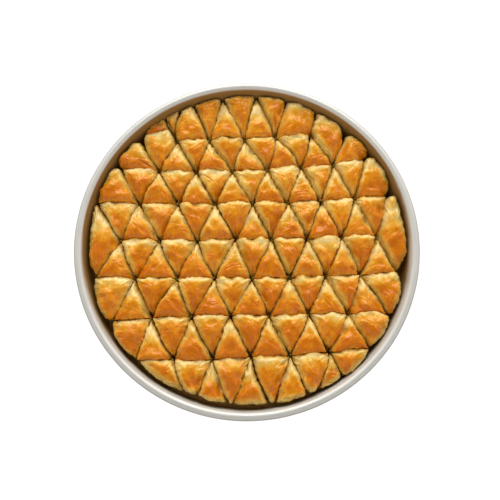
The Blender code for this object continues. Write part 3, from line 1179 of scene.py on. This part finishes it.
class BAKLAVA_OT_pieces(bpy.types.Operator):
    """Build every cut piece, one mesh for each row"""

    bl_idname = "baklava.pieces"
    bl_label = "Cut pieces"

    def execute(self, context):
        cuts = context.scene.baklava_cuts
        pieces = context.scene.baklava_pieces
        material = glazed_filo(context.scene.baklava_colours)
        forms = piece_forms(cuts)
        noise.seed_set(SEED)
        rough = random.Random(SEED + 3)
        for row in range(len(ROW_CUTS) - 1):
            bm = bmesh.new()
            bm.verts.layers.int.new("number")
            bm.verts.layers.float.new("across")
            bm.verts.layers.float.new("browning_and_painted_light")
            for form in forms:
                if form.row == row:
                    build_piece(bm, form, pieces, cuts, rough)
            bmesh.ops.recalc_face_normals(bm, faces=bm.faces)
            bm.verts.layers.int.remove(bm.verts.layers.int["number"])
            finished(bm, f"baklava_row_{row + 1}", material, "baked_filo", "baklava")
        return {"FINISHED"}


class BAKLAVA_OT_bottom_sheets(bpy.types.Operator):
    """Lay the soaked bottom sheets that the pieces stand on"""

    bl_idname = "baklava.bottom_sheets"
    bl_label = "Bottom sheets"

    def execute(self, context):
        pieces = context.scene.baklava_pieces
        colours = context.scene.baklava_colours
        bm = bmesh.new()
        ring = []
        for point in pastry_outline():
            flat = drawn_in(point, 0)
            ring.append(bm.verts.new((flat.x, flat.y, 1.3 * MM)))
        foot = bm.faces.new(ring)
        geom = bmesh.ops.extrude_face_region(bm, geom=[foot], use_keep_orig=True)["geom"]
        spread = drawn_in(Vector((1, 0)), pieces.foot).x / drawn_in(Vector((1, 0)), 0).x
        for part in geom:
            if isinstance(part, bmesh.types.BMVert):
                part.co.xy = PASTRY_MIDDLE + (part.co.xy - PASTRY_MIDDLE) * spread
                part.co.z = pieces.foot + 1 * MM
        bmesh.ops.recalc_face_normals(bm, faces=bm.faces)
        finished(bm, "bottom_sheets", soaked_filo(colours), "baked_filo", "baklava")
        return {"FINISHED"}


class BAKLAVA_OT_flakes(bpy.types.Operator):
    """Scatter thin flakes of filo on the edges of the cut pieces"""

    bl_idname = "baklava.flakes"
    bl_label = "Filo flakes"

    def execute(self, context):
        loose = context.scene.baklava_loose
        rows = [piece for piece in bpy.data.objects if piece.name.startswith("baklava_row_")]
        if not rows:
            raise RuntimeError("The flakes lie on the cut pieces, which aren't built yet")
        hand = random.Random(SEED + 5)
        bm = bmesh.new()
        for row in rows:
            vertices = row.data.vertices
            across = np.empty(len(vertices), dtype=np.float32)
            row.data.attributes["across"].data.foreach_get("value", across)
            edges = np.flatnonzero((across > -0.5) & (across < 1.5)).tolist()
            edges = [place for place in edges if vertices[place].co.xy.length < FLAKES_WITHIN]
            for place in hand.sample(edges, loose.flakes // len(rows)):
                self.add_flake(bm, vertices[place], hand, loose.flake)
        bmesh.ops.solidify(bm, geom=bm.faces[:], thickness=0.12 * MM)
        bmesh.ops.recalc_face_normals(bm, faces=bm.faces)
        material = loose_filo(context.scene.baklava_colours)
        finished(bm, "filo_flakes", material, "baked_filo", "baklava")
        return {"FINISHED"}

    def add_flake(self, bm, spot, hand, longest):
        """One bent flake that lies on a spot of the pastry."""
        made = bmesh.ops.create_grid(bm, x_segments=2, y_segments=1, size=0.5)["verts"]
        span = longest * hand.uniform(0.35, 1.0)
        width = span * hand.uniform(0.3, 0.7)
        curl = hand.uniform(-0.6, 1.0)
        for vertex in made:
            x, y = vertex.co.xy
            y *= hand.uniform(0.5, 1.2)
            vertex.co = (x * span, y * width, curl * span * x * x)
        turn = spot.normal.to_track_quat("Z", "Y").to_matrix().to_4x4()
        turn @= Matrix.Rotation(hand.uniform(0, 2 * math.pi), 4, "Z")
        turn @= Matrix.Rotation(hand.uniform(-0.5, 0.5), 4, "X")
        place = Matrix.Translation(spot.co + spot.normal * 0.3 * MM)
        bmesh.ops.transform(bm, matrix=place @ turn, verts=made)


class BAKLAVA_OT_crumbs(bpy.types.Operator):
    """Drop ground pistachio where the cuts meet"""

    bl_idname = "baklava.crumbs"
    bl_label = "Pistachio crumbs"

    def execute(self, context):
        loose = context.scene.baklava_loose
        hand = random.Random(SEED + 7)
        bm = bmesh.new()
        for spot in crossings().values():
            if (spot - PASTRY_MIDDLE).length > 0.9 * PASTRY_HALF_DEPTH:
                continue
            for _ in range(hand.choice((1, 2, 3, 4))):
                radius = loose.crumb * hand.uniform(0.45, 1.0)
                made = bmesh.ops.create_icosphere(bm, subdivisions=1, radius=radius)["verts"]
                for vertex in made:
                    vertex.co *= hand.uniform(0.7, 1.2)
                place = Vector((*spot, 0))
                place.x += hand.uniform(-2, 2) * MM
                place.y += hand.uniform(-1, 3) * MM
                place.z = hand.uniform(16, 21) * MM
                bmesh.ops.translate(bm, vec=place, verts=made)
        material = ground_pistachio(context.scene.baklava_colours)
        finished(bm, "pistachio_crumbs", material, "baked_filo", "baklava")
        return {"FINISHED"}


class BAKLAVA_OT_stage(bpy.types.Operator):
    """Set up the floor, the lights and the camera"""

    bl_idname = "baklava.stage"
    bl_label = "Stage"

    def execute(self, context):
        stage = context.scene.baklava_stage
        scene = context.scene
        material, tree, shader = new_material("matt_white_paper")
        set_inputs(shader, {
            "Base Color": stage.floor,
            "Roughness": 0.9,
        })
        seen = add_node(tree, "LightPath").outputs["Is Camera Ray"]
        glow = add_node(
            tree, "Math", {0: seen, 1: stage.floor_glow}, operation="MULTIPLY"
        ).outputs[0]
        set_inputs(shader, {
            "Emission Color": (1, 1, 1, 1),
            "Emission Strength": glow,
        })
        bm = bmesh.new()
        bmesh.ops.create_grid(bm, x_segments=1, y_segments=1, size=FLOOR_SIZE)
        mesh = bpy.data.meshes.new("floor")
        bm.to_mesh(mesh)
        bm.free()
        mesh.materials.append(material)
        floor = bpy.data.objects.new("floor", mesh)
        scene.collection.objects.link(floor)

        world = bpy.data.worlds.new("white_studio")
        world.use_nodes = True
        scene.world = world
        tree = world.node_tree
        background = tree.nodes["Background"]
        background.inputs["Color"].default_value = SKY_COLOUR
        way = add_node(tree, "TexCoord").outputs["Generated"]
        upward = add_node(tree, "SeparateXYZ", {"Vector": way}).outputs["Z"]
        # The photographer stands over the tray and keeps some light off it.
        glow = add_node(
            tree,
            "MapRange",
            {
                "Value": upward,
                "From Min": 0.5,
                "From Max": 0.9,
                "To Min": stage.round_glow,
                "To Max": stage.above_glow,
            },
        ).outputs["Result"]
        tree.links.new(glow, background.inputs["Strength"])

        window = bpy.data.lights.new("window", "AREA")
        window.size = WINDOW_SIZE
        window.energy = stage.window_power
        window.color = WINDOW_COLOUR
        holder = bpy.data.objects.new("window", window)
        holder.location = WINDOW_PLACE
        holder.rotation_euler = (-WINDOW_PLACE).to_track_quat("-Z", "Y").to_euler()
        scene.collection.objects.link(holder)

        camera = bpy.data.cameras.new("camera")
        camera.lens = CAMERA_LENS
        camera.sensor_width = CAMERA_SENSOR
        camera.shift_x, camera.shift_y = CAMERA_SHIFT
        holder = bpy.data.objects.new("camera", camera)
        away = Vector((0, -math.sin(CAMERA_TILT), math.cos(CAMERA_TILT)))
        holder.location = CAMERA_AIM + CAMERA_DISTANCE * away
        holder.rotation_euler = (CAMERA_TILT, 0, 0)
        scene.collection.objects.link(holder)
        scene.camera = holder
        scene.view_settings.view_transform = "Standard"
        return {"FINISHED"}


class BAKLAVA_PT_panel(bpy.types.Panel):
    """Lists the settings and the operators"""

    bl_idname = "BAKLAVA_PT_panel"
    bl_label = "Tray of Baklava"
    bl_space_type = "VIEW_3D"
    bl_region_type = "UI"
    bl_category = "Baklava"

    def draw(self, context):
        for kind in SETTINGS:
            box = self.layout.box()
            box.label(text=kind.__doc__)
            for name in kind.__annotations__:
                box.prop(getattr(context.scene, SETTINGS[kind]), name)
        for operator in OPERATORS:
            self.layout.operator(operator.bl_idname)


SETTINGS = {
    BaklavaCutSettings: "baklava_cuts",
    BaklavaPieceSettings: "baklava_pieces",
    BaklavaColourSettings: "baklava_colours",
    BaklavaLooseSettings: "baklava_loose",
    BaklavaTraySettings: "baklava_tray",
    BaklavaStageSettings: "baklava_stage",
}
OPERATORS = (
    BAKLAVA_OT_tray,
    BAKLAVA_OT_pieces,
    BAKLAVA_OT_bottom_sheets,
    BAKLAVA_OT_flakes,
    BAKLAVA_OT_crumbs,
    BAKLAVA_OT_stage,
)


def register():
    """Add the settings, the operators and the panel."""
    for kind, name in SETTINGS.items():
        bpy.utils.register_class(kind)
        setattr(bpy.types.Scene, name, PointerProperty(type=kind))
    for kind in OPERATORS:
        bpy.utils.register_class(kind)
    bpy.utils.register_class(BAKLAVA_PT_panel)


def unregister():
    """Take them away again."""
    bpy.utils.unregister_class(BAKLAVA_PT_panel)
    for kind in reversed(OPERATORS):
        bpy.utils.unregister_class(kind)
    for kind, name in reversed(SETTINGS.items()):
        delattr(bpy.types.Scene, name)
        bpy.utils.unregister_class(kind)


def main():
    """Build the tray and everything on it, in order."""
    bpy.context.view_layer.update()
    register()
    bpy.ops.baklava.tray()
    bpy.ops.baklava.pieces()
    bpy.ops.baklava.bottom_sheets()
    bpy.ops.baklava.flakes()
    bpy.ops.baklava.crumbs()
    bpy.ops.baklava.stage()


if __name__ == "__main__":
    main()
